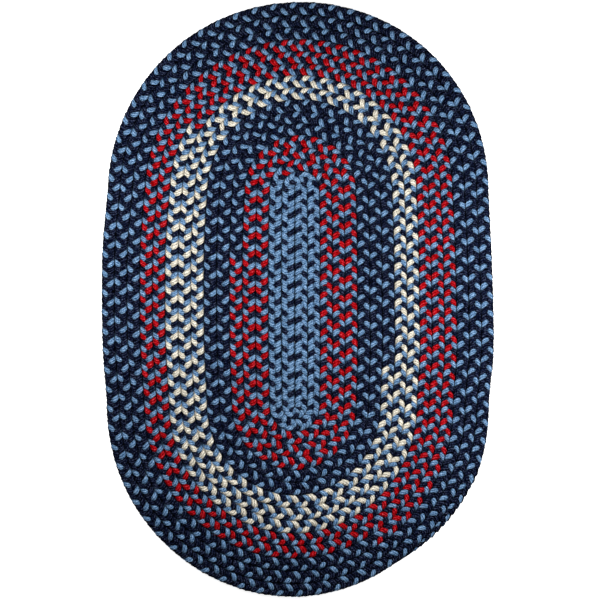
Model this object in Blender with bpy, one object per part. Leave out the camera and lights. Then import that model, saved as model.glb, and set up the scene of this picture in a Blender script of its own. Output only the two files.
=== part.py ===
"""Braided rug: one flat oval mat, made of a single plaited row laced to itself in a spiral.

Metres, +Z up. The rug lies on z = 0 with its middle at the origin and its length along Y.
The head is the +Y end, where each turn of the row steps out over the turn before it.
"""

import math

import bmesh
import bpy

NAME = "braided_rug"
MM = 0.001

# The row is laid round a straight middle seam, clockwise and outwards as seen from above.
SEAM_LENGTH = 336 * MM
SEAM_X = -4.9 * MM  # left of the middle: 16 rows lie on its right, and 15 on its left
SEAM_MIDDLE_Y = 3.5 * MM
FULL_TURNS = 15

# A place round a turn runs from 0 to 4, one for each stretch of it.
RIGHT, FOOT, LEFT, HEAD, ROUND = range(5)

# How wide the row lies at sixteen even places round a turn. It spreads at the middle of
# each side, and is pulled tightest round the head.
ROW_WIDTHS = (
    # stretch, then four widths along it in mm, in the way that the row runs
    ("right side", 18.60, 18.85, 19.05, 19.10),
    ("foot", 18.65, 18.90, 19.48, 19.35),
    ("left side", 19.25, 19.65, 19.75, 19.65),
    ("head", 19.15, 18.70, 18.40, 18.55),
)

# The plait's upper face across one row: two crests of leaves, with grooves at the seams.
ROW_SECTION = (
    # share of the row's width, height in mm
    (0.00, 6.8),
    (0.28, 9.5),
    (0.50, 8.8),
    (0.72, 9.5),
)
# The rug's rounded rim, from the upper face down to the flat underside.
RIM_SECTION = (
    # share of the row's width in from the edge, height in mm
    (0.09, 7.9),
    (0.00, 4.6),
    (0.05, 1.7),
    (0.15, 0.0),
)

# The last row narrows along the foot, after the right side, and ends against the row inside it.
TAIL_NARROWS_AT = FOOT + math.radians(14) / math.pi
TAIL_ENDS_AT = FOOT + math.radians(56) / math.pi

# Faces along each stretch of a turn: a side is nearly straight, and an end is half round.
SIDE_STEPS = 10
END_STEPS = 26
TAIL_STEPS = round(END_STEPS * (TAIL_ENDS_AT - FOOT))

WELD_DISTANCE = 0.01 * MM

NAVY_YARN = (0.013, 0.022, 0.055, 1.0)
YARN_ROUGHNESS = 0.9


def row_width(place):
    """The row's width at a place round the turn, on a smooth closed curve."""
    widths = [width for stretch in ROW_WIDTHS for width in stretch[1:]]
    at = place / ROUND * len(widths)
    first = math.floor(at)
    share = at - first
    before, start, end, after = (widths[(first + i) % len(widths)] for i in (-1, 0, 1, 2))
    slope = end - before
    bend = 2 * before - 5 * start + 4 * end - after
    twist = 3 * start - before - 3 * end + after
    return (start + 0.5 * share * (slope + share * (bend + share * twist))) * MM


def spiral_point(rows, place):
    """The (x, y) that lies so many rows out from the middle seam at a place round the turn."""
    stretch = min(int(place), HEAD)
    share = place - stretch
    turned = math.pi * share
    out = rows * row_width(place)
    head_y = SEAM_MIDDLE_Y + SEAM_LENGTH / 2
    foot_y = SEAM_MIDDLE_Y - SEAM_LENGTH / 2
    if stretch == RIGHT:
        return SEAM_X + out, head_y - SEAM_LENGTH * share
    if stretch == FOOT:
        return SEAM_X + out * math.cos(turned), foot_y - out * math.sin(turned)
    if stretch == LEFT:
        return SEAM_X - out, foot_y + SEAM_LENGTH * share
    # Round the head the row steps out by its own width, so the bend's centre is half of it over.
    step = row_width(RIGHT)
    radius = step / 2 + (out if rows > 0 else rows * step)
    return SEAM_X + step / 2 - radius * math.cos(turned), head_y + radius * math.sin(turned)


def section_height(rows):
    """The height of the upper face at a point of the section so many rows out."""
    return dict(ROW_SECTION)[round(rows % 1, 6)] * MM


def section_rows(turns):
    """How many rows out each point of the section lies, over all of those turns."""
    return [turn + share for turn in range(turns) for share, _ in ROW_SECTION]


def tail_share(place):
    """How much of its width the last row has: all before the foot, and none past its end."""
    left = (TAIL_ENDS_AT - place) / (TAIL_ENDS_AT - TAIL_NARROWS_AT)
    return max(0.0, min(1.0, left))


def rim_start(place):
    """How many rows out the upper face ends and the rim begins."""
    inwards = RIM_SECTION[0][0]
    left = tail_share(place)
    return FULL_TURNS + left * (1 - inwards) if left else FULL_TURNS - inwards


def places_along(start, end, steps):
    return [start + (end - start) * i / steps for i in range(steps + 1)]


def add_panel(mesh, across, along, point_at):
    """A grid of faces, each of its points then moved to its own place on the rug."""
    grid = bmesh.ops.create_grid(mesh, x_segments=across, y_segments=along, size=1)
    for vertex in grid["verts"]:
        column = round((vertex.co.x + 1) / 2 * across)
        line = round((vertex.co.y + 1) / 2 * along)
        vertex.co = point_at(column, line)


def add_stretch(mesh, columns, places):
    """The upper face of the full rows along one stretch, out to where the rim begins."""

    def point_at(column, line):
        place = places[line]
        if column < len(columns):
            rows = columns[column]
            return (*spiral_point(rows, place), section_height(rows))
        return (*spiral_point(rim_start(place), place), RIM_SECTION[0][1] * MM)

    add_panel(mesh, len(columns), len(places) - 1, point_at)


def add_tail(mesh, places):
    """The upper face along the tail: the full rows, then the narrowing one outside them."""
    inner = section_rows(FULL_TURNS)
    rim_height = RIM_SECTION[0][1]

    def point_at(column, line):
        place = places[line]
        left = tail_share(place)
        if column < len(inner):
            rows, height = inner[column], section_height(inner[column])
        elif left and column < len(inner) + len(ROW_SECTION):
            share, high = ROW_SECTION[column - len(inner)]
            rows, height = FULL_TURNS + left * share, high * MM
        else:
            rows, height = rim_start(place), rim_height * MM
        return (*spiral_point(rows, place), height)

    add_panel(mesh, len(inner) + len(ROW_SECTION), len(places) - 1, point_at)


def add_rim(mesh, places):
    """The rounded rim, as rings of faces all round the edge."""

    def point_at(column, line):
        place = places[line % len(places)]
        inwards, height = RIM_SECTION[column]
        rows = FULL_TURNS + tail_share(place) - inwards if column else rim_start(place)
        return (*spiral_point(rows, place), height * MM)

    add_panel(mesh, len(RIM_SECTION) - 1, len(places), point_at)


def close_underside(mesh):
    """One flat face across the edges that are still open."""
    open_edges = [edge for edge in mesh.edges if edge.is_boundary]
    bmesh.ops.contextual_create(mesh, geom=open_edges)


def build_rug():
    """The whole rug as one closed mesh."""
    mesh = bmesh.new()
    right = places_along(RIGHT, FOOT, SIDE_STEPS)
    tail = places_along(FOOT, TAIL_ENDS_AT, TAIL_STEPS)
    foot = places_along(TAIL_ENDS_AT, LEFT, END_STEPS - TAIL_STEPS)
    left = places_along(LEFT, HEAD, SIDE_STEPS)
    head = places_along(HEAD, ROUND, END_STEPS)
    # The head also covers the half round that the first bend leaves above the row's start.
    half_row = [share - 1 for share, _ in ROW_SECTION if share >= 0.5]
    add_stretch(mesh, section_rows(FULL_TURNS + 1), right)
    add_tail(mesh, tail)
    add_stretch(mesh, section_rows(FULL_TURNS), foot)
    add_stretch(mesh, section_rows(FULL_TURNS), left)
    add_stretch(mesh, half_row + section_rows(FULL_TURNS), head)
    add_rim(mesh, right[:-1] + tail[:-1] + foot[:-1] + left[:-1] + head[:-1])
    bmesh.ops.remove_doubles(mesh, verts=mesh.verts, dist=WELD_DISTANCE)
    close_underside(mesh)
    bmesh.ops.recalc_face_normals(mesh, faces=mesh.faces)
    return mesh


def braided_yarn():
    material = bpy.data.materials.new("braided_yarn")
    material.use_nodes = True
    shader = material.node_tree.nodes["Principled BSDF"]
    shader.inputs["Base Color"].default_value = NAVY_YARN
    shader.inputs["Roughness"].default_value = YARN_ROUGHNESS
    shader.inputs["Metallic"].default_value = 0.0
    return material


def main():
    for old in list(bpy.data.objects):
        bpy.data.objects.remove(old, do_unlink=True)
    collection = bpy.data.collections.new("Braided rug")
    bpy.context.scene.collection.children.link(collection)
    rug = build_rug()
    mesh = bpy.data.meshes.new(NAME)
    rug.to_mesh(mesh)
    rug.free()
    mesh.materials.append(braided_yarn())
    collection.objects.link(bpy.data.objects.new(NAME, mesh))


main()
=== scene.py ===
"""The looks of the braided rug: its one long plait, laid round in an oval spiral.

Three strands of plied yarn make the plait. Two keep their colours, light blue and navy, and
the third changes from turn to turn. A Geometry Nodes tree carries each strand over and under
the others along the row. Metres, +Z up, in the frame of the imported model.
"""

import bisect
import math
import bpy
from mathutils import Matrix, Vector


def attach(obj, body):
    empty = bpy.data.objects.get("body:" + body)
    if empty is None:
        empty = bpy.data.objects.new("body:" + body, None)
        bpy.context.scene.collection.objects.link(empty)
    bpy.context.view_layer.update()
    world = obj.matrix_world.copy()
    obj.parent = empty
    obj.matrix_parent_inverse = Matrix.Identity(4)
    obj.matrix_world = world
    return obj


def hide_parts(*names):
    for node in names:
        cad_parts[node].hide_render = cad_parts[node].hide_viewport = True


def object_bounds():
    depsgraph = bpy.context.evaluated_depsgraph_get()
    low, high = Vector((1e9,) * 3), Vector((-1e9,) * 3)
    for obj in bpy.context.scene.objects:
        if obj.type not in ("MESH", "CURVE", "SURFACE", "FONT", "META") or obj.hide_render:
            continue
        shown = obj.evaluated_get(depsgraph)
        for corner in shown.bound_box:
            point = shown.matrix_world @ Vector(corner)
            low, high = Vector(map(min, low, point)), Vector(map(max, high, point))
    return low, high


bl_info = {
    "name": "Braided oval rug",
    "version": (1, 0, 0),
    "blender": (4, 5, 0),
    "location": "3D View > Sidebar > Rug",
    "description": "Plaits an oval rug from three strands of yarn",
    "category": "Object",
}

import bpy
from bpy.props import FloatProperty, FloatVectorProperty, IntProperty, PointerProperty
from mathutils import Vector

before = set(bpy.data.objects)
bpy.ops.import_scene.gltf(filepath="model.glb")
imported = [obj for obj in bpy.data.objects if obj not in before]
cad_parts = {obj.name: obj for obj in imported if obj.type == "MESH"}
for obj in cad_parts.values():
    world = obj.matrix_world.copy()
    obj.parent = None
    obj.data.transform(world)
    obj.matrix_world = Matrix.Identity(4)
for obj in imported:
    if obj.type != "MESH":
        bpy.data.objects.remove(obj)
CAD_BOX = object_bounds()

MM = 0.001
NODE = "braided_rug"
BODY = "root"

UP = Vector((0, 0, 1))
THICK = CAD_BOX[1].z - CAD_BOX[0].z

# The row is laid round a straight middle seam, clockwise and outwards as seen from above.
# These sizes, and the row's way round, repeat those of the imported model's source. The tail's
# two angles alone are a few degrees more, as in the photograph.
SEAM_LENGTH = 336 * MM
SEAM_X = -4.9 * MM
SEAM_MIDDLE_Y = 3.5 * MM
FULL_TURNS = 15
RIGHT, FOOT, LEFT, HEAD, ROUND = range(5)
ROW_WIDTHS = (
    # stretch, then four widths along it in mm, in the way that the row runs
    ("right side", 18.60, 18.85, 19.05, 19.10),
    ("foot", 18.65, 18.90, 19.48, 19.35),
    ("left side", 19.25, 19.65, 19.75, 19.65),
    ("head", 19.15, 18.70, 18.40, 18.55),
)
ROW_SHIFTS = (
    # stretch, then at the same places how far out, in mm, the middle rows lie from an even share
    ("right side", 0.7, 1.7, 0.8, 1.2),
    ("foot", 1.1, 0.7, 0.4, -0.4),
    ("left side", 0.4, 1.6, 1.8, 1.9),
    ("head", 0.4, -1.5, -1.8, -1.5),
)
TAIL_NARROWS_AT = FOOT + math.radians(18) / math.pi
TAIL_ENDS_AT = FOOT + math.radians(58) / math.pi
USUAL_WIDTH = 19.0 * MM
# The plait's creases open where it bends, and get a deeper painted shade there; in full from this turn
# on.
OPEN_FROM_TURN = 4

# How far the row's round end reaches past the middle seam, as a share of half its width.
START_REACH = 1.25

# The count of repeats where the row starts, at its first right side's middle, and where the
# first bend starts and ends.
FIRST_REPEAT = 0.12
FIRST_SIDE_REPEAT = 6.6
FIRST_FOOT_REPEATS = {FOOT: 12.6, LEFT: 14.15}
# How often the plait repeats from there on, from the middle of one side to the next.
REPEATS = (
    # turn, repeats round the foot, repeats round the head
    (1, 13.6, 14.5),
    (2, 15.4, 16.2),
    (3, 17.0, 18.3),
    (4, 19.2, 20.4),
    (5, 21.5, 22.8),
    (6, 24.2, 25.2),
    (7, 26.4, 26.9),
    (8, 27.9, 28.8),
    (9, 29.9, 31.3),
    (10, 32.2, 33.5),
    (11, 34.3, 35.3),
    (12, 36.4, 37.6),
    (13, 38.1, 38.5),
    (14, 39.2, 40.4),
    (15, 41.2, 41.3),
)
# How far the plait runs ahead of even repeats at the middle of each end, for each turn.
FOOT_LEAD = 0.012
HEAD_LEAD = -0.009
# The count where the tail starts to narrow, and where it ends.
TAIL_REPEAT = 863.4
LAST_REPEAT = 869.2
USUAL_REPEAT = 28.0 * MM

# The row is walked in small steps, and then marked with guide points at even repeats.
GUIDE_STEPS_PER_STRETCH = 240
GUIDE_POINTS_PER_REPEAT = 16
TAIL_STEP = round(TAIL_NARROWS_AT * GUIDE_STEPS_PER_STRETCH)
# A root or a division gets at least this, so that rounding can't stop it.
LEAST = 1e-12

# Where one piece of yarn gives way to the next in each strand.
STRANDS = (
    # strand, how many thirds of a repeat it runs ahead, its width as a share of the usual,
    # then its yarns and where each one ends
    ("changing", 1, 1.06, (
        ("light_blue", 57),
        ("red", 165),
        ("navy", 292),
        ("cream", 448),
        ("red", 630),
        ("navy", LAST_REPEAT),
    )),
    ("blue", 0, 0.97, (("light_blue", 436), ("light_blue", LAST_REPEAT))),
    ("navy", -1, 0.98, (("navy", 436), ("navy", LAST_REPEAT))),
)
# A leaf of the blue strand lies at each whole repeat, in the column on the row's outer side.
LEAF_MIDDLE = 0.065

# The length of yarn that a strand takes for each repeat.
YARN_PER_REPEAT = 48 * MM
# How far a leaf runs out for each step along the row.
USUAL_LEAN = 1.9
# Towards the tail's end the plait thins to this share, slowly at first, and its strands lie
# wider by this share.
TAIL_THINNED_TO = 0.3
TAIL_EASING = 0.7
TAIL_SLACK = 0.35
# How far unevenness moves the leaves along the row, and out from its middle.
STRAY = (3 * MM, 2 * MM, 0.0)
# The strands stay this far off the floor.
FLOOR_GAP = 0.05 * MM
# Keeps the strands' random differences apart.
SEED_STEP = 100.0
# Fewer faces than this mean that a strand's tree has failed.
FEWEST_FACES = 100

# Where the painted shade on a leaf's flanks and ends starts and is darkest, and the light left
# there. Each has a value for dark yarn, and what a wholly pale yarn adds to it, because it
# passes light on into its creases.
FLANKS = {
    "start": (0.6, 0.75),
    "start at a bend": (0.4, 0.75),
    "full dark": (1.2, 0.45),
    "full dark at a bend": (1.0, 0.75),
    "light left": (0.1, 1.05),
}
# Painted shade along the row's middle and between the rows, where the leaves' ends dive deep. The light
# left there is given for dark yarn, and what a wholly pale yarn adds.
SEAM_LIGHT_LEFT = (0.25, 0.6)
SEAMS = (
    # seam, where it starts to darken and is darkest, as shares of half the row's width
    ("along the row's middle", 0.2, 0.0),
    ("between the rows", 0.85, 0.98),
)
# The eye's steps of brightness, as a power of the light.
EYE_POWER = 2.2

# The stage: a square floor, two square lamps aimed at the rug's middle, and the camera.
FLOOR_HALF = 3.0
FLOOR_GLOW = 0.9
ROOM_LIGHT = 0.06
LAMP_SIDE = 0.35
LAMP_PLACES = {"right": (0.56, 0.03, 0.56), "left": (-0.44, 0.17, 0.56)}
AIM_X = 3.1 * MM
AIM_Y = -0.8 * MM
CAMERA_DISTANCE = 4.0
CAMERA_REACH = 20.0
SENSOR_WIDTH = 36.0
WHITE = (1.0, 1.0, 1.0, 1.0)

MATHS = "ShaderNodeMath"
VECTORS = "ShaderNodeVectorMath"


# --- small tools ---------------------------------------------------------------------------


def linear(hex_colour):
    """An sRGB hex colour as the linear values that Blender works in."""
    channels = (int(hex_colour[i : i + 2], 16) / 255 for i in (1, 3, 5))
    return tuple(c / 12.92 if c <= 0.04045 else ((c + 0.055) / 1.055) ** 2.4 for c in channels)


def add_node(tree, kind, wires=(), **settings):
    """Adds a node with its settings, and links or sets its inputs, in order or by name."""
    node = tree.nodes.new(kind)
    for name, value in settings.items():
        setattr(node, name, value)
    for key, value in wires.items() if isinstance(wires, dict) else enumerate(wires):
        if isinstance(value, bpy.types.Node):
            value = value.outputs[0]
        if isinstance(value, bpy.types.NodeSocket):
            tree.links.new(value, node.inputs[key])
        else:
            node.inputs[key].default_value = value
    return node


def new_group(name, inputs, outputs):
    """A Geometry Nodes group with named inputs and outputs."""
    tree = bpy.data.node_groups.new(name, "GeometryNodeTree")
    for socket, kind, default in inputs:
        made = tree.interface.new_socket(name=socket, in_out="INPUT", socket_type=f"NodeSocket{kind}")
        if default is not None:
            made.default_value = default
    for socket, kind in outputs:
        tree.interface.new_socket(name=socket, in_out="OUTPUT", socket_type=f"NodeSocket{kind}")
    return tree, tree.nodes.new("NodeGroupInput"), tree.nodes.new("NodeGroupOutput")


# --- the row's way round the rug -------------------------------------------------------------


def mix(a, b, share):
    return a + (b - a) * share


def smooth_along(stretches, place):
    """A table's value at a place round the turn, in metres, on a smooth closed curve."""
    values = [value for stretch in stretches for value in stretch[1:]]
    at = place / ROUND * len(values)
    first = math.floor(at)
    share = at - first
    before, start, end, after = (values[(first + i) % len(values)] for i in (-1, 0, 1, 2))
    slope = end - before
    bend = 2 * before - 5 * start + 4 * end - after
    twist = 3 * start - before - 3 * end + after
    return (start + 0.5 * share * (slope + share * (bend + share * twist))) * MM


def row_width(place):
    return smooth_along(ROW_WIDTHS, place)


def row_out(rows, place):
    """How far out from the middle seam so many rows reach. The middle rows are shifted most."""
    turns = rows + max(0.0, place - HEAD)
    share = math.sqrt(math.sin(math.pi * min(turns / FULL_TURNS, 1.0)) + LEAST)
    return rows * row_width(place) + smooth_along(ROW_SHIFTS, place) * share


def spiral_point(rows, place):
    """The (x, y) that lies so many rows out from the middle seam at a place round the turn."""
    stretch = min(int(place), HEAD)
    share = place - stretch
    turned = math.pi * share
    out = row_out(rows, place)
    head_y = SEAM_MIDDLE_Y + SEAM_LENGTH / 2
    foot_y = SEAM_MIDDLE_Y - SEAM_LENGTH / 2
    if stretch == RIGHT:
        return SEAM_X + out, head_y - SEAM_LENGTH * share
    if stretch == FOOT:
        return SEAM_X + out * math.cos(turned), foot_y - out * math.sin(turned)
    if stretch == LEFT:
        return SEAM_X - out, foot_y + SEAM_LENGTH * share
    step = row_width(RIGHT)
    radius = step / 2 + out
    return SEAM_X + step / 2 - radius * math.cos(turned), head_y + radius * math.sin(turned)


def tail_share(place):
    """How much of its width the last row has: all before the foot, and none past its end."""
    left = (TAIL_ENDS_AT - place) / (TAIL_ENDS_AT - TAIL_NARROWS_AT)
    return max(0.0, min(1.0, left))


def walk_row():
    """Close points along the row's middle line, and where its repeats lie.

    Each point has (length so far, x, y, width, taper, opening), and each knot ties a length
    along the row to the count of repeats there. The row starts in a round end above the middle
    seam, which fills the first turn's bend.
    """
    start_x, start_y = spiral_point(0.5, RIGHT)
    radius = START_REACH * row_width(RIGHT) / 2
    points = []
    for step in range(GUIDE_STEPS_PER_STRETCH):
        before = radius * (1 - step / GUIDE_STEPS_PER_STRETCH)
        share = math.sqrt(1 - (before / radius) ** 2)
        points.append((radius - before, start_x, start_y + before, row_width(RIGHT) * share, share, 0.0))
    length, repeats = radius, FIRST_SIDE_REPEAT
    knots, ends = [(0.0, FIRST_REPEAT)], []
    for turn in range(1, FULL_TURNS + 2):
        last = turn > FULL_TURNS
        steps = ROUND * GUIDE_STEPS_PER_STRETCH
        if last:
            steps = math.ceil(TAIL_ENDS_AT * GUIDE_STEPS_PER_STRETCH)
        for step in range(0 if turn == 1 else 1, steps + 1):
            place = step / GUIDE_STEPS_PER_STRETCH
            taper = tail_share(place) if last else 1.0
            x, y = spiral_point(turn - 1 + taper / 2, min(place, TAIL_ENDS_AT) if last else place)
            width = row_width(place) * taper
            if not last:
                width = row_out(turn, place) - row_out(turn - 1, place)
            bending = math.sin(math.pi * place) ** 2 if place % 2 > 1 else 0.0
            opening = math.sqrt(bending) * min(1.0, turn / OPEN_FROM_TURN)
            length += math.hypot(x - points[-1][1], y - points[-1][2])
            points.append((length, x, y, width, taper, opening))
            if place == RIGHT + 0.5:
                knots.append((length, repeats))
                repeats += REPEATS[turn - 1][1] if not last else 0
            elif place == LEFT + 0.5 and not last:
                knots.append((length, repeats))
                repeats += REPEATS[turn - 1][2]
            elif place in FIRST_FOOT_REPEATS and turn == 1:
                knots.append((length, FIRST_FOOT_REPEATS[place]))
            elif place in (FOOT + 0.5, HEAD + 0.5) and 1 < turn <= FULL_TURNS:
                ends.append((length, turn * (FOOT_LEAD if place < LEFT else HEAD_LEAD)))
            elif last and step == TAIL_STEP:
                knots.append((length, TAIL_REPEAT))
    knots.append((length, LAST_REPEAT))
    for end, lead in ends:
        at = bisect.bisect(knots, (end,))
        (from_length, from_repeats), (to_length, to_repeats) = knots[at - 1 : at + 1]
        even = mix(from_repeats, to_repeats, (end - from_length) / (to_length - from_length))
        knots.insert(at, (end, even + lead))
    return points, knots


def make_guide():
    """The row's middle line as a mesh of points at even shares of a repeat.

    Each point has the way out from the rug's middle, and how the row lies there: its width as
    a share of the usual one, its taper, and the length of a repeat as a share of the usual.
    It also has how open the plait's creases are, which deepens their painted shade.
    """
    points, knots = walk_row()
    lengths = [point[0] for point in points]
    last = round((LAST_REPEAT - FIRST_REPEAT) * GUIDE_POINTS_PER_REPEAT)
    places, widths, tapers, openings, knot = [], [], [], [], 0
    for index in range(last + 1):
        repeats = FIRST_REPEAT + index / GUIDE_POINTS_PER_REPEAT
        while repeats > knots[knot + 1][1] and knot + 2 < len(knots):
            knot += 1
        (from_length, from_repeats), (to_length, to_repeats) = knots[knot : knot + 2]
        length = mix(from_length, to_length, (repeats - from_repeats) / (to_repeats - from_repeats))
        at = max(1, min(len(points) - 1, bisect.bisect_left(lengths, length)))
        before, after = points[at - 1], points[at]
        share = min(1.0, (length - before[0]) / max(after[0] - before[0], LEAST))
        x, y, width, taper, opening = (mix(before[i], after[i], share) for i in range(1, 6))
        places.append(Vector((x, y, 0)))
        widths.append(width)
        tapers.append(taper)
        openings.append(opening)
    outs, lays = [], []
    for index in range(last + 1):
        earlier, later = max(index - 1, 0), min(index + 1, last)
        along = places[later] - places[earlier]
        repeat = along.length * GUIDE_POINTS_PER_REPEAT / (later - earlier)
        outs.append(UP.cross(along.normalized()))
        lays.append((widths[index] / USUAL_WIDTH, tapers[index], repeat / USUAL_REPEAT))
    mesh = bpy.data.meshes.new("row_guide")
    mesh.from_pydata(places, [], [])
    for name, values in (("out", outs), ("lay", lays)):
        attribute = mesh.attributes.new(name, "FLOAT_VECTOR", "POINT")
        attribute.data.foreach_set("vector", [number for value in values for number in value])
    mesh.attributes.new("opening", "FLOAT", "POINT").data.foreach_set("value", openings)
    return mesh


# --- Geometry Nodes: the plait ---------------------------------------------------------------


def row_point_group():
    """The row's middle line at a number of repeats from its start, between two guide points."""
    tree, given, result = new_group(
        "Point on the row",
        [("Row", "Geometry", None), ("Repeats", "Float", 0.0)],
        [("Place", "Vector"), ("Out", "Vector"), ("Lay", "Vector"), ("Opening", "Vector")],
    )
    past = add_node(tree, MATHS, (given.outputs["Repeats"], FIRST_REPEAT), operation="SUBTRACT")
    at = add_node(tree, MATHS, (past, float(GUIDE_POINTS_PER_REPEAT)), operation="MULTIPLY")
    first = add_node(tree, MATHS, (at,), operation="FLOOR")
    second = add_node(tree, MATHS, (first, 1.0), operation="ADD")
    share = add_node(tree, MATHS, (at,), operation="FRACT")
    fields = {"Place": add_node(tree, "GeometryNodeInputPosition")}
    for name in ("Out", "Lay", "Opening"):
        fields[name] = add_node(
            tree, "GeometryNodeInputNamedAttribute", {"Name": name.lower()}, data_type="FLOAT_VECTOR"
        )
    for name, field in fields.items():
        ends = [
            add_node(
                tree,
                "GeometryNodeSampleIndex",
                {"Geometry": given.outputs["Row"], "Value": field, "Index": index},
                data_type="FLOAT_VECTOR",
                clamp=True,
            )
            for index in (first, second)
        ]
        blend = add_node(tree, "ShaderNodeMix", {0: share, 4: ends[0], 5: ends[1]}, data_type="VECTOR")
        tree.links.new(blend.outputs[1], result.inputs[name])
    return tree


def weave_group():
    """Where a strand lies in the plait: (along the row, out from its middle, above mid-height).

    It swings from edge to edge once a repeat and rises over the others twice, so that it
    shows as a leaf in each column, running from the row's middle to its edge.
    """
    tree, given, result = new_group(
        "Place in the plait",
        [
            ("Swing", "Float", 0.0),  # its place along the row, in repeats
            ("Reach", "Float", 7.3 * MM),  # how far out it swings to each side
            ("Straightness", "Float", 0.6 * MM),  # how straight it runs between the edges
            ("Middle", "Float", 1.05 * MM),  # how far outside the row's middle it crosses
            ("Sweep", "Float", 2.3 * MM),  # how far back it lies where it is highest
            ("Lead", "Float", 0.3 * MM),  # how far on it lies at the middle, and back at an edge
            ("Rise", "Float", 2.65 * MM),  # how far above and below mid-height it goes
        ],
        [("Offset", "Vector")],
    )
    g = given.outputs
    angle = add_node(tree, MATHS, (g["Swing"], 2 * math.pi), operation="MULTIPLY")
    turned = add_node(tree, VECTORS, (angle, (1, 2, 3)), operation="MULTIPLY")
    waves = add_node(tree, VECTORS, (turned,), operation="SINE")
    wave = add_node(tree, "ShaderNodeSeparateXYZ", (waves,)).outputs
    across = add_node(tree, MATHS, (wave[0], g["Reach"]), operation="MULTIPLY")
    straightened = add_node(tree, MATHS, (wave[2], g["Straightness"]), operation="MULTIPLY")
    across = add_node(tree, MATHS, (across, straightened), operation="SUBTRACT")
    nearness = add_node(tree, MATHS, (wave[0], wave[0]), operation="MULTIPLY")
    nearness = add_node(tree, MATHS, (1.0, nearness), operation="SUBTRACT")
    across = add_node(tree, MATHS, (nearness, g["Middle"], across), operation="MULTIPLY_ADD")
    along = add_node(tree, MATHS, (nearness, 2.0), operation="MULTIPLY")
    along = add_node(tree, MATHS, (along, 1.0), operation="SUBTRACT")
    along = add_node(tree, MATHS, (along, g["Lead"]), operation="MULTIPLY")
    back = add_node(tree, MATHS, (wave[1], g["Sweep"]), operation="MULTIPLY")
    along = add_node(tree, MATHS, (along, back), operation="SUBTRACT")
    up = add_node(tree, MATHS, (wave[1], g["Rise"]), operation="MULTIPLY")
    offset = add_node(tree, "ShaderNodeCombineXYZ", (along, across, up))
    tree.links.new(offset.outputs[0], result.inputs["Offset"])
    return tree


def leaf_unevenness(tree, swing, seed, unevenness):
    """Three slow random changes along the strand, since no two leaves are quite alike."""
    changes_per_repeat = 1.7
    strength = 4.0
    at = add_node(tree, MATHS, (swing, changes_per_repeat, seed), operation="MULTIPLY_ADD")
    noise = add_node(
        tree, "ShaderNodeTexNoise", {"W": at, "Scale": 1.0, "Detail": 1.0}, noise_dimensions="1D"
    )
    wander = add_node(tree, VECTORS, (noise.outputs["Color"], (0.5, 0.5, 0.5)), operation="SUBTRACT")
    amount = add_node(tree, MATHS, (unevenness, strength), operation="MULTIPLY")
    uneven = add_node(tree, VECTORS, (wander, amount), operation="MULTIPLY")
    return add_node(tree, "ShaderNodeSeparateXYZ", (uneven,)).outputs


def strand_width(tree, g, swing, lay):
    """The width of a strand, which lies beside others and is as wide as they let it be.

    It is drawn in where it crosses the row's middle, and where it turns round the edge.
    Beneath, the floor presses it wider, and towards the tail's end it lies slacker.
    """
    spread, taper, stretch = lay["X"], lay["Y"], lay["Z"]
    turned = add_node(tree, MATHS, (swing, 2 * math.pi), operation="MULTIPLY")
    crossing = add_node(tree, MATHS, (turned,), operation="COSINE")
    turning = add_node(tree, MATHS, (turned,), operation="SINE")
    width = g["Width"]
    for wave, sharpness, narrowed in (
        (crossing, 4.0, g["Width in the middle"]),
        (turning, 8.0, g["Width at the edge"]),
    ):
        near = add_node(tree, MATHS, (wave, sharpness), operation="POWER")
        drawn = add_node(tree, "ShaderNodeMix", {0: near, 2: 1.0, 3: narrowed})
        width = add_node(tree, MATHS, (width, drawn), operation="MULTIPLY")
    # From 0 where the strand is highest to 1 where it is lowest.
    under = add_node(tree, MATHS, (crossing, turning), operation="MULTIPLY")
    under = add_node(tree, MATHS, (0.5, under), operation="SUBTRACT")
    drawn = add_node(tree, "ShaderNodeMix", {0: under, 2: 1.0, 3: g["Width beneath"]})
    width = add_node(tree, MATHS, (width, drawn), operation="MULTIPLY")

    # A wider row or a shorter repeat makes the leaves lean out more, with less room for each.
    lean = add_node(tree, MATHS, (spread, stretch), operation="DIVIDE")
    lean = add_node(tree, MATHS, (lean, USUAL_LEAN), operation="MULTIPLY")
    lean = add_node(tree, MATHS, (lean,), operation="ARCTANGENT")
    room = add_node(tree, MATHS, (lean,), operation="SINE")
    room = add_node(tree, MATHS, (room, stretch), operation="MULTIPLY")
    room = add_node(tree, MATHS, (room, math.sin(math.atan(USUAL_LEAN))), operation="DIVIDE")
    width = add_node(tree, MATHS, (width, room), operation="MULTIPLY")
    slack = add_node(tree, MATHS, (taper, -TAIL_SLACK, 1 + TAIL_SLACK), operation="MULTIPLY_ADD")
    return add_node(tree, MATHS, (width, slack), operation="MULTIPLY")


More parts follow.
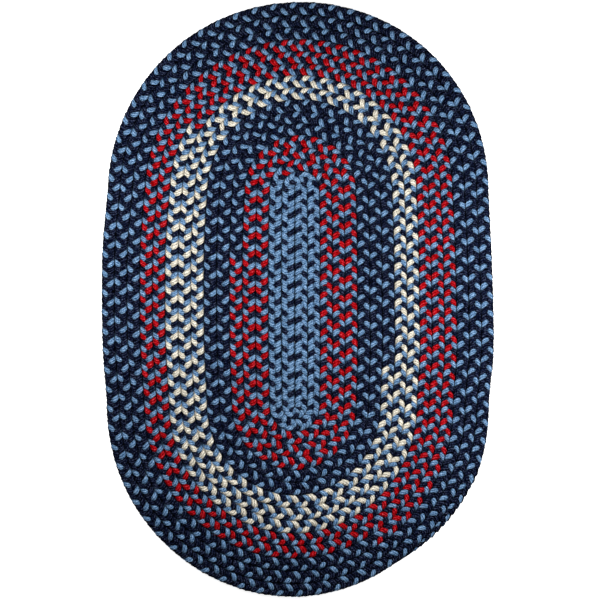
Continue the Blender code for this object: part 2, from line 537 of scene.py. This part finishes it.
def strand_tree():
    """One piece of yarn on its way along the row, as a closed tube of even rings."""
    tree, given, result = new_group(
        "Plaited strand",
        [
            ("Row", "Geometry", None),
            ("From", "Float", 0.0),
            ("To", "Float", 1.0),
            ("Ahead", "Float", 0.0),
            ("Rings", "Int", 18),
            ("Sides", "Int", 10),
            ("Width", "Float", 9.1 * MM),
            ("Width in the middle", "Float", 0.9),
            ("Width at the edge", "Float", 0.9),
            ("Width beneath", "Float", 1.15),
            ("Thickness", "Float", 4.15 * MM),
            ("Mid-height", "Float", THICK / 2),
            ("Unevenness", "Float", 0.14),
            ("Seed", "Float", 0.0),
            ("Yarn", "Material", None),
        ],
        [("Strand", "Geometry")],
    )
    tree.is_modifier = True
    g = given.outputs
    span = add_node(tree, MATHS, (g["To"], g["From"]), operation="SUBTRACT")
    rings = add_node(tree, MATHS, (span, g["Rings"]), operation="MULTIPLY")
    tube = add_node(
        tree,
        "GeometryNodeMeshCylinder",
        {"Vertices": g["Sides"], "Side Segments": rings, "Radius": 1.0, "Depth": 1.0},
        fill_type="NGON",
    )

    # The plain tube's own coordinates say where each of its points goes.
    here = add_node(tree, "ShaderNodeSeparateXYZ", (add_node(tree, "GeometryNodeInputPosition"),)).outputs
    share = add_node(tree, MATHS, (here["Z"], 0.5), operation="ADD")
    repeats = add_node(tree, MATHS, (share, span, g["From"]), operation="MULTIPLY_ADD")
    swing = add_node(tree, MATHS, (repeats, g["Ahead"]), operation="ADD")
    row_point = row_point_group()
    centre = add_node(
        tree, "GeometryNodeGroup", {"Row": g["Row"], "Repeats": repeats}, node_tree=row_point
    )
    lay = add_node(tree, "ShaderNodeSeparateXYZ", (centre.outputs["Lay"],)).outputs
    spread, taper, stretch = lay["X"], lay["Y"], lay["Z"]
    # The row is thinner where it is narrower, towards the tail's end and in the round start.
    eased = add_node(tree, MATHS, (taper, TAIL_EASING), operation="POWER")
    thinned = (eased, 1 - TAIL_THINNED_TO, TAIL_THINNED_TO)
    thinned = add_node(tree, MATHS, thinned, operation="MULTIPLY_ADD")

    # Where the strand lies in the plait, and which way it runs there.
    scale = add_node(tree, "ShaderNodeCombineXYZ", (stretch, spread, thinned))
    weave = weave_group()
    step = 0.01
    places = []
    for shift in (-step, 0.0, step):
        moved = add_node(tree, MATHS, (swing, shift), operation="ADD")
        place = add_node(tree, "GeometryNodeGroup", {"Swing": moved}, node_tree=weave)
        places.append(add_node(tree, VECTORS, (place, scale), operation="MULTIPLY"))
    ahead = add_node(tree, MATHS, (stretch, 2 * step * USUAL_REPEAT), operation="MULTIPLY")
    ahead = add_node(tree, "ShaderNodeCombineXYZ", (ahead,))
    run = add_node(tree, VECTORS, (places[2], places[0]), operation="SUBTRACT")
    run = add_node(tree, VECTORS, (run, ahead), operation="ADD")
    run = add_node(tree, VECTORS, (run,), operation="NORMALIZE")

    # The strand's face looks up on top, outwards round the edge, and down beneath.
    face = add_node(tree, VECTORS, ((1, 0, 0), run), operation="CROSS_PRODUCT")
    face = add_node(tree, VECTORS, (face,), operation="NORMALIZE")
    side = add_node(tree, VECTORS, (face, run), operation="CROSS_PRODUCT")

    # Each ring of the tube is a flattened round of that width and thickness.
    uneven = leaf_unevenness(tree, swing, g["Seed"], g["Unevenness"])
    width = strand_width(tree, g, swing, lay)
    thickness = add_node(tree, MATHS, (g["Thickness"], thinned), operation="MULTIPLY")
    ring = []
    for part, way, full, wobble in (("X", side, width, uneven["X"]), ("Y", face, thickness, 0.0)):
        half = add_node(tree, MATHS, (wobble, 0.5, 0.5), operation="MULTIPLY_ADD")
        half = add_node(tree, MATHS, (half, full), operation="MULTIPLY")
        half = add_node(tree, MATHS, (half, here[part]), operation="MULTIPLY")
        ring.append(add_node(tree, VECTORS, (way, half), operation="MULTIPLY"))
    local = add_node(tree, VECTORS, (ring[0], ring[1]), operation="ADD")
    local = add_node(tree, VECTORS, (local, places[1]), operation="ADD")
    drift = add_node(tree, "ShaderNodeCombineXYZ", (uneven["Y"], uneven["Z"]))
    drift = add_node(tree, VECTORS, (drift, STRAY), operation="MULTIPLY")
    local = add_node(tree, VECTORS, (local, drift), operation="ADD")
    local = add_node(tree, "ShaderNodeSeparateXYZ", (local,)).outputs

    # The plait bends with the row, so each point takes its place from the row beside it.
    beside = add_node(tree, MATHS, (local["X"], stretch), operation="DIVIDE")
    beside = add_node(tree, MATHS, (beside, 1 / USUAL_REPEAT, repeats), operation="MULTIPLY_ADD")
    bent = add_node(
        tree, "GeometryNodeGroup", {"Row": g["Row"], "Repeats": beside}, node_tree=row_point
    )
    middle = add_node(tree, MATHS, (g["Mid-height"], thinned), operation="MULTIPLY")
    height = add_node(tree, MATHS, (local["Z"], middle), operation="ADD")
    height = add_node(tree, MATHS, (height, FLOOR_GAP), operation="MAXIMUM")
    world = add_node(tree, VECTORS, (bent.outputs["Out"], local["Y"]), operation="MULTIPLY")
    world = add_node(tree, VECTORS, (world, bent.outputs["Place"]), operation="ADD")
    raised = add_node(tree, "ShaderNodeCombineXYZ", {"Z": height})
    world = add_node(tree, VECTORS, (world, raised), operation="ADD")

    # The material reads the point's place on the yarn: round it, and along it in metres. It
    # also reads how far the point lies from the row's middle, and how open the creases are,
    # for the painted shade in the creases and seams.
    along = add_node(tree, MATHS, (swing, YARN_PER_REPEAT), operation="MULTIPLY")
    yarn_place = add_node(tree, "ShaderNodeCombineXYZ", (here["X"], here["Y"], along))
    opening = add_node(tree, "ShaderNodeSeparateXYZ", (centre.outputs["Opening"],))
    off_middle = add_node(tree, MATHS, (local["Y"], spread), operation="DIVIDE")
    off_middle = add_node(tree, MATHS, (off_middle, 2 / USUAL_WIDTH), operation="MULTIPLY")
    off_middle = add_node(tree, MATHS, (off_middle,), operation="ABSOLUTE")
    row_place = add_node(tree, "ShaderNodeCombineXYZ", (off_middle, opening))
    marked = tube
    for name, value in (("yarn", yarn_place), ("row", row_place)):
        marked = add_node(
            tree,
            "GeometryNodeStoreNamedAttribute",
            {"Geometry": marked, "Name": name, "Value": value},
            data_type="FLOAT_VECTOR",
            domain="POINT",
        )
    placed = add_node(tree, "GeometryNodeSetPosition", {"Geometry": marked, "Position": world})
    smooth = add_node(tree, "GeometryNodeSetShadeSmooth", {"Geometry": placed})
    real = add_node(tree, "GeometryNodeRealizeInstances", {"Geometry": smooth})
    coloured = add_node(tree, "GeometryNodeSetMaterial", {"Geometry": real, "Material": g["Yarn"]})
    tree.links.new(coloured.outputs[0], result.inputs["Strand"])
    return tree


# --- the yarns -------------------------------------------------------------------------------


def yarn_relief(tree, place):
    """The ridges of the yarn's plies and the grain of its fibres, as heights from 0 to 1.

    Real fibres are too fine to show, so the grain is drawn nearly a millimetre coarse.
    """
    plies = 7
    twist_length = 70 * MM
    yarn_radius = 3.0 * MM
    fibre_width = 0.9 * MM
    fibre_length = 2.0 * MM
    ply_wander = 1.5
    ply_roundness = 0.8
    parts = add_node(tree, "ShaderNodeSeparateXYZ", (place,)).outputs
    angle = add_node(tree, MATHS, (parts["Y"], parts["X"]), operation="ARCTAN2")
    # Fibres run along the yarn, so the grain is long and narrow, and pulls the plies about.
    finest = (yarn_radius / fibre_width, yarn_radius / fibre_width, 1 / fibre_length)
    grain = add_node(tree, VECTORS, (place, finest), operation="MULTIPLY")
    grain = add_node(tree, "ShaderNodeTexNoise", {"Vector": grain, "Scale": 1.0, "Detail": 3.0})
    wound = add_node(tree, MATHS, (parts["Z"], math.pi / twist_length), operation="MULTIPLY")
    ridge = add_node(tree, MATHS, (angle, plies / 2, wound), operation="MULTIPLY_ADD")
    ridge = add_node(tree, MATHS, (grain, ply_wander, ridge), operation="MULTIPLY_ADD")
    ridge = add_node(tree, MATHS, (ridge,), operation="SINE")
    ridge = add_node(tree, MATHS, (ridge,), operation="ABSOLUTE")
    ridge = add_node(tree, MATHS, (ridge, ply_roundness), operation="POWER")
    return ridge, grain


def leaf_crease(tree, place):
    """How near a point of the yarn is to a leaf's flanks and ends: 0 on its top, 1 or more there."""
    # This nearness places the painted shade in the creases between the leaves.
    leaf_top = 0.65
    depth_at_ends = 0.9
    roundness = 3.0
    parts = add_node(tree, "ShaderNodeSeparateXYZ", (place,)).outputs
    # Four times a repeat the strand goes from the row's middle to an edge, or back.
    swing = add_node(tree, MATHS, (parts["Z"], 4 / YARN_PER_REPEAT), operation="MULTIPLY")
    outwards = add_node(tree, MATHS, (swing, 1.0), operation="PINGPONG")
    crease = add_node(tree, MATHS, (parts["X"],), operation="ABSOLUTE")
    crease = add_node(tree, MATHS, (crease, roundness), operation="POWER")
    for reach in (leaf_top, leaf_top - 1):
        off = add_node(tree, MATHS, (outwards, leaf_top), operation="SUBTRACT")
        off = add_node(tree, MATHS, (off, -1 / reach), operation="MULTIPLY")
        off = add_node(tree, MATHS, (off, 0.0), operation="MAXIMUM")
        off = add_node(tree, MATHS, (off, roundness), operation="POWER")
        crease = add_node(tree, MATHS, (off, depth_at_ends, crease), operation="MULTIPLY_ADD")
    return crease


def darken_creases(tree, shade, place, colour):
    """The shade, made darker in the plait's creases and seams, and less so on pale yarn.

    Each leaf is round and stands proud in its middle. Its flanks lie in the creases between
    the leaves and get painted shade, and so do its ends where the row bends and the plait
    opens. Where the row runs straight, the ends dive along its middle and its edges instead,
    and a narrow painted shade marks the seam there.
    """
    paleness = (sum(colour) / len(colour)) ** 2
    start, start_bent, full, full_bent, light = (dark + more * paleness for dark, more in FLANKS.values())
    seam_light = SEAM_LIGHT_LEFT[0] + SEAM_LIGHT_LEFT[1] * paleness
    row = add_node(tree, "ShaderNodeAttribute", attribute_name="row").outputs["Vector"]
    row = add_node(tree, "ShaderNodeSeparateXYZ", (row,)).outputs
    off_middle, opening = row["X"], row["Y"]
    starts = add_node(tree, "ShaderNodeMix", {0: opening, 2: start, 3: start_bent})
    ends = add_node(tree, "ShaderNodeMix", {0: opening, 2: full, 3: full_bent})
    seam_light = add_node(tree, "ShaderNodeMix", {0: opening, 2: seam_light, 3: 1.0})
    creases = [(leaf_crease(tree, place), starts, ends, light)]
    creases += [(off_middle, seam_starts, seam_ends, seam_light) for _, seam_starts, seam_ends in SEAMS]
    # Each crease and seam paints its shade into the colour, from where it starts to where it is darkest.
    for at, starts, ends, darkest in creases:
        dark = add_node(
            tree,
            "ShaderNodeMapRange",
            {"Value": at, "From Min": starts, "From Max": ends, "To Min": 1.0, "To Max": darkest},
            interpolation_type="SMOOTHSTEP",
        )
        shade = add_node(tree, MATHS, (shade, dark), operation="MULTIPLY")
    return shade


def plied_yarn(name, colour):
    """Plied wool-like yarn, dyed in the hank: soft ridges of its plies, a dry, matt surface
    with a little fuzz, and a dye that is uneven from fibre to fibre."""
    material = bpy.data.materials.new(name)
    material.use_nodes = True
    tree = material.node_tree
    shader = tree.nodes["Principled BSDF"]
    shader.inputs["Roughness"].default_value = 0.9
    shader.inputs["Specular IOR Level"].default_value = 0.02

    dye_patch = 12 * MM
    dye_strength = 0.5
    # Loose fibres are drawn as coarse as the picture can show them.
    fuzz_size = 1.6 * MM
    place = add_node(tree, "ShaderNodeAttribute", attribute_name="yarn").outputs["Vector"]
    ridge, grain = yarn_relief(tree, place)
    spot = add_node(tree, "ShaderNodeTexCoord").outputs["Object"]
    dye = add_node(tree, "ShaderNodeTexNoise", {"Vector": spot, "Scale": 1 / dye_patch, "Detail": 2.0})
    fuzz = add_node(tree, "ShaderNodeTexNoise", {"Vector": spot, "Scale": 1 / fuzz_size, "Detail": 1.0})
    shade = (dye, dye_strength, 1 - dye_strength / 2)
    shade = add_node(tree, MATHS, shade, operation="MULTIPLY_ADD")
    # Painted shade: the leaves' creases and the row's seams are darkened in the colour itself.
    shade = darken_creases(tree, shade, place, colour)

    # The plies' ridges get painted light and their grooves painted shade, besides their bump.
    # These, the fibres' grain and the flecks of loose fibres stand out as much from one colour as
    # from another, so they are added to the colour in the eye's steps. Taking off their usual sum
    # keeps the colour as it is on the whole.
    seen = add_node(tree, "ShaderNodeGamma", ((*colour, 1.0), 1 / EYE_POWER))
    usual_sum = 0.785
    lift = -usual_sum
    for relief, strength in ((ridge, 0.27), (grain, 0.25), (fuzz, 0.9)):
        lift = add_node(tree, MATHS, (relief, strength, lift), operation="MULTIPLY_ADD")
    seen = add_node(tree, VECTORS, (seen, lift), operation="ADD")
    seen = add_node(tree, VECTORS, (seen, (0.0, 0.0, 0.0)), operation="MAXIMUM")
    tint = add_node(tree, "ShaderNodeGamma", (seen, EYE_POWER))
    tint = add_node(tree, VECTORS, {0: tint, "Scale": shade}, operation="SCALE")
    tree.links.new(tint.outputs[0], shader.inputs["Base Color"])

    grain_height = 0.8
    ply_height = 0.6 * MM
    height = add_node(tree, MATHS, (grain, grain_height, ridge), operation="MULTIPLY_ADD")
    bump = {"Height": height, "Strength": 0.8, "Distance": ply_height}
    bump = add_node(tree, "ShaderNodeBump", bump)
    tree.links.new(bump.outputs[0], shader.inputs["Normal"])
    return material


# --- settings --------------------------------------------------------------------------------


class PlaitSizes(bpy.types.PropertyGroup):
    """Sizes of the strands in the plait"""

    width: FloatProperty(
        name="Strand width",
        description="Width of a strand where it lies as a leaf",
        default=9.1 * MM,
        unit="LENGTH",
        subtype="DISTANCE",
    )
    thickness: FloatProperty(
        name="Strand thickness",
        description="Thickness of a strand, about half of the rug's",
        default=4.15 * MM,
        unit="LENGTH",
        subtype="DISTANCE",
    )
    unevenness: FloatProperty(
        name="Unevenness",
        description="How much the leaves differ in size, as a share",
        default=0.14,
        subtype="FACTOR",
    )
    rings: IntProperty(name="Rings", description="Rings of faces in each repeat", default=18)
    sides: IntProperty(name="Sides", description="Faces round a strand", default=10)
    seed: IntProperty(name="Seed", description="Changes how the leaves differ", default=3)


class YarnColours(bpy.types.PropertyGroup):
    """Colours of the four yarns"""

    light_blue: FloatVectorProperty(
        name="Light blue",
        description="The blue strand, and the changing strand's first turns",
        default=linear("#698cb2"),
        subtype="COLOR",
    )
    navy: FloatVectorProperty(
        name="Navy",
        description="The dark strand, and the changing strand's navy turns",
        default=linear("#0d152e"),
        subtype="COLOR",
    )
    red: FloatVectorProperty(
        name="Red",
        description="The changing strand's red turns",
        default=linear("#aa0612"),
        subtype="COLOR",
    )
    cream: FloatVectorProperty(
        name="Cream",
        description="The changing strand's cream turns",
        default=linear("#e0d9c8"),
        subtype="COLOR",
    )


class StageSizes(bpy.types.PropertyGroup):
    """The floor, lights and camera"""

    view_width: FloatProperty(
        name="View width",
        description="Width of floor that the square picture shows",
        default=921.6 * MM,
        unit="LENGTH",
        subtype="DISTANCE",
    )
    floor_colour: FloatVectorProperty(
        name="Floor colour",
        description="Plain pale floor",
        default=linear("#f8f8f8"),
        subtype="COLOR",
    )
    right_power: FloatProperty(
        name="Right lamp",
        description="Power of the soft lamp on the right",
        default=5.7,
        unit="POWER",
    )
    left_power: FloatProperty(
        name="Left lamp",
        description="Power of the soft lamp on the left",
        default=4.2,
        unit="POWER",
    )


# --- operators -------------------------------------------------------------------------------


def finish_piece(piece):
    """Gives the piece to its body, and hides the imported rug's mesh."""
    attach(piece, BODY)
    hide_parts(NODE)


def bake_strand(context, name, tree, guide, inputs):
    """Runs the strand's tree with its inputs, and turns the result into a plain mesh."""
    sockets = {item.name: item.identifier for item in tree.interface.items_tree if item.in_out == "INPUT"}
    made = bpy.data.objects.new(f"{name}_guide", guide)
    context.scene.collection.objects.link(made)
    modifier = made.modifiers.new("Plait", "NODES")
    modifier.node_group = tree
    for key, value in inputs.items():
        modifier[sockets[key]] = value
    depsgraph = context.evaluated_depsgraph_get()
    mesh = bpy.data.meshes.new_from_object(
        made.evaluated_get(depsgraph), preserve_all_data_layers=True, depsgraph=depsgraph
    )
    bpy.data.objects.remove(made)
    if len(mesh.polygons) < FEWEST_FACES:
        raise RuntimeError(f"{name} has no tube")
    mesh.name = name
    piece = bpy.data.objects.new(name, mesh)
    context.scene.collection.objects.link(piece)
    return piece


class PlaitStrands(bpy.types.Operator):
    """Plait the three strands along the row, each in its pieces of yarn"""

    bl_idname = "rug.plait_strands"
    bl_label = "Plait strands"

    def execute(self, context):
        sizes, colours = context.scene.rug_plait, context.scene.rug_yarns
        yarns = {
            name: plied_yarn(f"{name}_plied_yarn", getattr(colours, name))
            for name in ("light_blue", "navy", "red", "cream")
        }
        tree = strand_tree()
        guide = make_guide()
        for strand, ahead, share, pieces in STRANDS:
            width = share * sizes.width
            start = FIRST_REPEAT
            for number, (yarn, end) in enumerate(pieces, 1):
                inputs = {
                    "From": float(start),
                    "To": float(end),
                    "Ahead": LEAF_MIDDLE + ahead / 3,
                    "Rings": sizes.rings,
                    "Sides": sizes.sides,
                    "Width": width,
                    "Thickness": sizes.thickness,
                    "Unevenness": sizes.unevenness,
                    "Seed": SEED_STEP * ahead + sizes.seed,
                    "Yarn": yarns[yarn],
                }
                piece = bake_strand(context, f"{strand}_strand_{number}_{yarn}", tree, guide, inputs)
                finish_piece(piece)
                start = end
        return {"FINISHED"}


def light_table(colour):
    """Opal acrylic, matt and even. It is lit from below as well, as a light table is, so that
    the rug casts no shadow on it."""
    material = bpy.data.materials.new("white_light_table")
    material.use_nodes = True
    shader = material.node_tree.nodes["Principled BSDF"]
    shader.inputs["Base Color"].default_value = (*colour, 1.0)
    shader.inputs["Roughness"].default_value = 0.95
    shader.inputs["Emission Color"].default_value = WHITE
    shader.inputs["Emission Strength"].default_value = FLOOR_GLOW
    return material


def make_floor(colour):
    """A square floor, no part of the rug."""
    corners = [(x * FLOOR_HALF, y * FLOOR_HALF, 0) for x, y in ((-1, -1), (1, -1), (1, 1), (-1, 1))]
    mesh = bpy.data.meshes.new("floor")
    mesh.from_pydata(corners, [], [(0, 1, 2, 3)])
    mesh.materials.append(light_table(colour))
    floor = bpy.data.objects.new("floor", mesh)
    bpy.context.scene.collection.objects.link(floor)


def make_room_light():
    """Weak, even light from all round."""
    world = bpy.data.worlds.new("soft_room_light")
    world.use_nodes = True
    background = world.node_tree.nodes["Background"]
    background.inputs["Color"].default_value = WHITE
    background.inputs["Strength"].default_value = ROOM_LIGHT
    return world


def make_lamp(side, power):
    """A soft lamp at one side. It stands close, so that the rug's ends are in less light."""
    lamp = bpy.data.lights.new(f"soft_{side}_lamp", "AREA")
    lamp.energy = power
    lamp.size = LAMP_SIDE
    light = bpy.data.objects.new(f"soft_{side}_lamp", lamp)
    light.location = LAMP_PLACES[side]
    light.rotation_euler = light.location.to_track_quat("Z", "Y").to_euler()
    bpy.context.scene.collection.objects.link(light)


def make_camera(view_width):
    """The camera, which looks straight down, with the rug a little left of its middle."""
    lens = bpy.data.cameras.new("camera")
    lens.sensor_width = SENSOR_WIDTH
    lens.sensor_fit = "HORIZONTAL"
    lens.lens = SENSOR_WIDTH * CAMERA_DISTANCE / view_width
    lens.clip_end = CAMERA_REACH
    camera = bpy.data.objects.new("camera", lens)
    camera.location = (AIM_X, AIM_Y, CAD_BOX[1].z + CAMERA_DISTANCE)
    bpy.context.scene.collection.objects.link(camera)
    return camera


class SetStage(bpy.types.Operator):
    """Set the pale floor, the two soft lamps and the camera straight above the rug"""

    bl_idname = "rug.set_stage"
    bl_label = "Set stage"

    def execute(self, context):
        settings = context.scene.rug_stage
        make_floor(settings.floor_colour)
        make_lamp("right", settings.right_power)
        make_lamp("left", settings.left_power)
        context.scene.world = make_room_light()
        context.scene.camera = make_camera(settings.view_width)
        context.scene.view_settings.view_transform = "Standard"
        return {"FINISHED"}


class RugPanel(bpy.types.Panel):
    """Lists the rug's settings and operators"""

    bl_idname = "VIEW3D_PT_rug"
    bl_label = "Braided rug"
    bl_space_type = "VIEW_3D"
    bl_region_type = "UI"
    bl_category = "Rug"

    def draw(self, context):
        for operator in OPERATORS:
            self.layout.operator(operator.bl_idname)
        for name in SETTINGS:
            group = getattr(context.scene, name)
            for key in group.bl_rna.properties.keys():
                if key not in ("rna_type", "name"):
                    self.layout.prop(group, key)


SETTINGS = {"rug_plait": PlaitSizes, "rug_yarns": YarnColours, "rug_stage": StageSizes}
OPERATORS = (PlaitStrands, SetStage)


def register():
    for kind in (*SETTINGS.values(), *OPERATORS, RugPanel):
        bpy.utils.register_class(kind)
    for name, kind in SETTINGS.items():
        setattr(bpy.types.Scene, name, PointerProperty(type=kind))


def unregister():
    for name in SETTINGS:
        delattr(bpy.types.Scene, name)
    for kind in reversed((*SETTINGS.values(), *OPERATORS, RugPanel)):
        bpy.utils.unregister_class(kind)


def main():
    register()
    bpy.ops.rug.plait_strands()
    bpy.ops.rug.set_stage()


if __name__ == "__main__":
    main()
